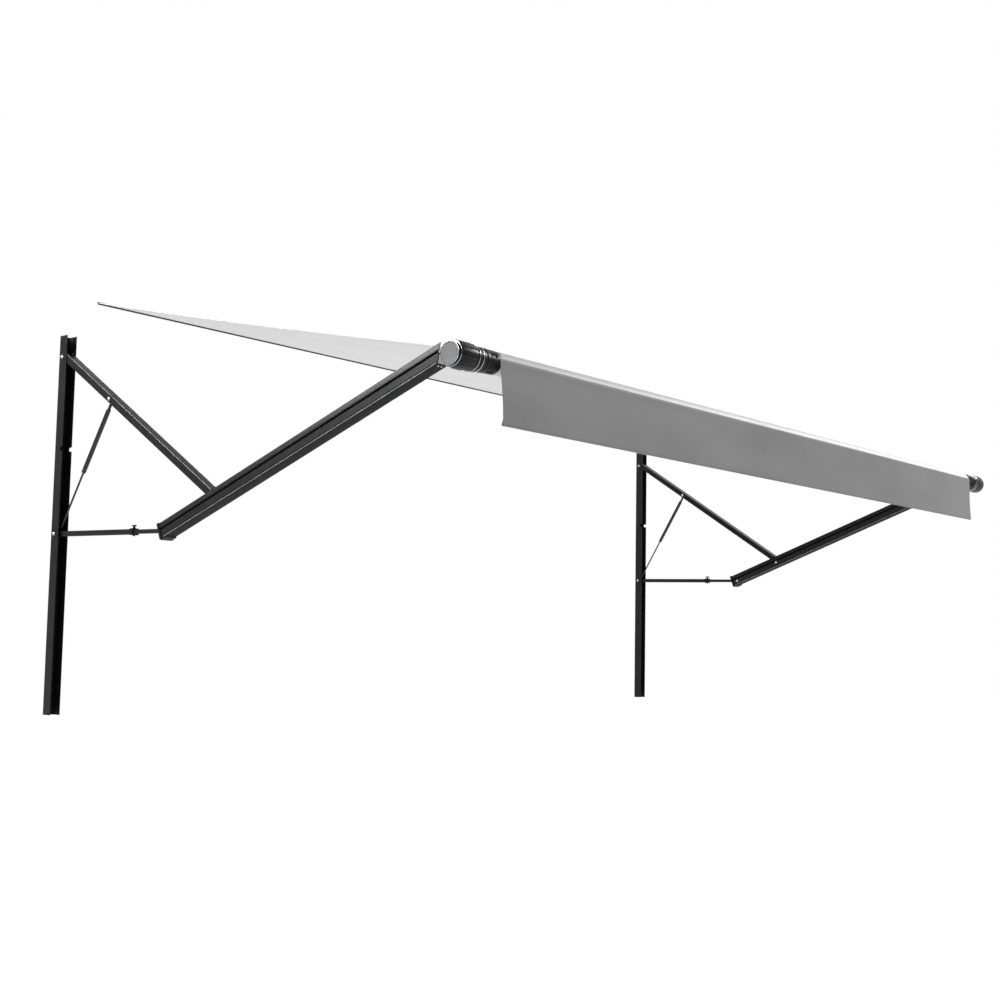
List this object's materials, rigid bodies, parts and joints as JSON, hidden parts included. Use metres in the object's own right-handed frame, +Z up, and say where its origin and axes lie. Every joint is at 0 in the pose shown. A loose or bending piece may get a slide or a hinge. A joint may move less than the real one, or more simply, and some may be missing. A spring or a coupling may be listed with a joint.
{
  "type": "retractable wall awning",
  "caption": "Retractable patio awning with folding side arms, gas struts, a motor roller, a pale grey canopy and a hanging valance.",
  "frame": {"origin": "on the wall plane, midway between the two wall channels, at the level of their lower ends", "axes": "+X along the wall to the right as seen from in front, -Y out from the wall, +Z up"},
  "size_m": [4.374, 2.1898, 1.703],
  "materials": {
    "black_coat": "satin powder coat",
    "black_plastic": "fine-grained moulding",
    "grey_plastic": "fine-grained moulding",
    "bright_metal": "turned, bright",
    "zinc": "zinc plated",
    "vinyl_bead": "matt",
    "canopy_cloth": "coated weave",
    "valance_cloth": "coated weave"
  },
  "bodies": {
    "wall_frame": {"left_wall_channel": "black_coat", "left_top_bracket": "black_coat", "left_upper_pivot": "zinc", "left_lower_pivot": "zinc", "right_wall_channel": "black_coat", "right_top_bracket": "black_coat", "right_upper_pivot": "zinc", "right_lower_pivot": "zinc"},
    "left_strut_rod": {"left_strut_rod": "zinc"},
    "left_lock_pin": {"left_lock_pin": "zinc"},
    "left_lock_knob": {"left_lock_knob": "black_plastic"},
    "left_pitch_arm": {"left_pitch_sleeve": "black_coat", "left_pitch_collar": "black_plastic", "left_pitch_bar": "black_coat"},
    "left_strut_barrel": {"left_strut_barrel": "black_coat", "left_strut_neck": "black_coat"},
    "left_upper_arm": {"left_upper_arm": "black_coat", "left_strut_bolt_outer": "zinc", "left_strut_bolt_inner": "zinc"},
    "left_main_arm": {"left_main_arm": "black_coat", "left_foot_cap": "black_plastic", "left_foot_pivot": "zinc", "left_elbow_bolt": "zinc", "left_head_bracket": "grey_plastic", "left_head_drum": "black_plastic", "left_head_cover": "grey_plastic", "left_head_ring": "bright_metal", "left_drum_ring": "bright_metal", "left_stub_shaft": "black_coat", "motor": "black_coat"},
    "right_strut_rod": {"right_strut_rod": "zinc"},
    "right_lock_pin": {"right_lock_pin": "zinc"},
    "right_lock_knob": {"right_lock_knob": "black_plastic"},
    "right_pitch_arm": {"right_pitch_sleeve": "black_coat", "right_pitch_collar": "black_plastic", "right_pitch_bar": "black_coat"},
    "right_strut_barrel": {"right_strut_barrel": "black_coat", "right_strut_neck": "black_coat"},
    "right_upper_arm": {"right_upper_arm": "black_coat", "right_strut_bolt_outer": "zinc", "right_strut_bolt_inner": "zinc"},
    "right_main_arm": {"right_main_arm": "black_coat", "right_foot_cap": "black_plastic", "right_foot_pivot": "zinc", "right_elbow_bolt": "zinc", "right_head_bracket": "grey_plastic", "right_head_drum": "black_plastic", "right_head_cover": "grey_plastic", "right_head_ring": "bright_metal", "right_drum_ring": "bright_metal", "right_stub_shaft": "black_coat"},
    "roller": {"roller_tube": "bright_metal", "left_roller_cap": "black_plastic", "right_roller_cap": "black_plastic", "drive_crown": "black_plastic"},
    "valance": {"valance": "valance_cloth", "valance_hem_rod": "valance_cloth"},
    "canopy": {"wall_bead": "vinyl_bead", "canopy": "canopy_cloth"}
  },
  "joints": [
    {"name": "awning_fold", "type": "hinge", "parent": "wall_frame", "child": "left_pitch_arm", "pos_m": [-2.115, -0.019, 0.722], "axis": [1, 0, 0], "range_deg": [0, 85.06], "deforming": ["canopy", "valance", "valance_hem_rod"]},
    {"name": "left_foot_fold", "type": "hinge", "parent": "left_pitch_arm", "child": "left_main_arm", "pos_m": [-2.115, -0.72691, 0.711], "axis": [1, 0, 0], "range_deg": [-154.63, 0]},
    {"name": "left_upper_fold", "type": "hinge", "parent": "wall_frame", "child": "left_upper_arm", "pos_m": [-2.115, -0.019, 1.442], "axis": [1, 0, 0], "range_deg": [0, 55.3]},
    {"name": "left_strut_swing", "type": "hinge", "parent": "wall_frame", "child": "left_strut_rod", "pos_m": [-2.115, -0.019, 0.722], "axis": [1, 0, 0], "range_deg": [-28.84, 0]},
    {"name": "left_strut_stroke", "type": "slide", "parent": "left_strut_rod", "child": "left_strut_barrel", "axis": [0, -0.5236, 0.852], "range_m": [-0.26549, 0]},
    {"name": "left_pin_pull", "type": "slide", "parent": "left_pitch_arm", "child": "left_lock_pin", "axis": [0, -0.0155, 0.9999], "range_m": [0, 0.005], "stiffness_N_per_m": 900},
    {"name": "left_knob_turn", "type": "hinge", "parent": "left_lock_pin", "child": "left_lock_knob", "pos_m": [-2.115, -0.50594, 0.71444], "axis": [0, -0.0155, 0.9999], "range_deg": [0, 90]},
    {"name": "right_pitch_arm_fold", "type": "hinge", "parent": "wall_frame", "child": "right_pitch_arm", "pos_m": [2.115, -0.019, 0.722], "axis": [1, 0, 0], "range_deg": [0, 85.56]},
    {"name": "right_foot_fold", "type": "hinge", "parent": "right_pitch_arm", "child": "right_main_arm", "pos_m": [2.115, -0.72691, 0.711], "axis": [1, 0, 0], "range_deg": [-154.63, 0]},
    {"name": "right_upper_fold", "type": "hinge", "parent": "wall_frame", "child": "right_upper_arm", "pos_m": [2.115, -0.019, 1.442], "axis": [1, 0, 0], "range_deg": [0, 55.3]},
    {"name": "right_strut_swing", "type": "hinge", "parent": "wall_frame", "child": "right_strut_rod", "pos_m": [2.115, -0.019, 0.722], "axis": [1, 0, 0], "range_deg": [-28.84, 0]},
    {"name": "right_strut_stroke", "type": "slide", "parent": "right_strut_rod", "child": "right_strut_barrel", "axis": [0, -0.5236, 0.852], "range_m": [-0.26549, 0]},
    {"name": "right_pin_pull", "type": "slide", "parent": "right_pitch_arm", "child": "right_lock_pin", "axis": [0, -0.0155, 0.9999], "range_m": [0, 0.005], "stiffness_N_per_m": 900},
    {"name": "right_knob_turn", "type": "hinge", "parent": "right_lock_pin", "child": "right_lock_knob", "pos_m": [2.115, -0.50594, 0.71444], "axis": [0, -0.0155, 0.9999], "range_deg": [0, 90]},
    {"name": "roller_wind", "type": "hinge", "parent": "left_main_arm", "child": "roller", "pos_m": [0, -2.14417, 1.2156], "axis": [1, 0, 0], "range_deg": [0, 2777.39]},
    {"name": "valance_hang", "type": "hinge", "parent": "left_main_arm", "child": "valance", "pos_m": [0, -2.14417, 1.2156], "axis": [1, 0, 0], "range_deg": [0, 69.57]},
    {"name": "canopy_swing", "type": "hinge", "parent": "wall_frame", "child": "canopy", "pos_m": [0, -0.01, 1.699], "axis": [1, 0, 0], "range_deg": [0, 39.82]}
  ],
  "couplings": [
    {"joint": "left_foot_fold", "follows": "awning_fold", "ratio": -1.812},
    {"joint": "left_upper_fold", "follows": "awning_fold", "ratio": 0.64429},
    {"joint": "left_strut_swing", "follows": "awning_fold", "ratio": -0.33317},
    {"joint": "left_strut_stroke", "follows": "awning_fold", "m_per_rad": -0.17849},
    {"joint": "right_pitch_arm_fold", "follows": "awning_fold", "ratio": 1},
    {"joint": "right_foot_fold", "follows": "awning_fold", "ratio": -1.812},
    {"joint": "right_upper_fold", "follows": "awning_fold", "ratio": 0.64429},
    {"joint": "right_strut_swing", "follows": "awning_fold", "ratio": -0.33317},
    {"joint": "right_strut_stroke", "follows": "awning_fold", "m_per_rad": -0.17849},
    {"joint": "roller_wind", "follows": "awning_fold", "ratio": 32.593},
    {"joint": "valance_hang", "follows": "awning_fold", "ratio": 0.812},
    {"joint": "canopy_swing", "follows": "awning_fold", "ratio": 0.46221}
  ]
}
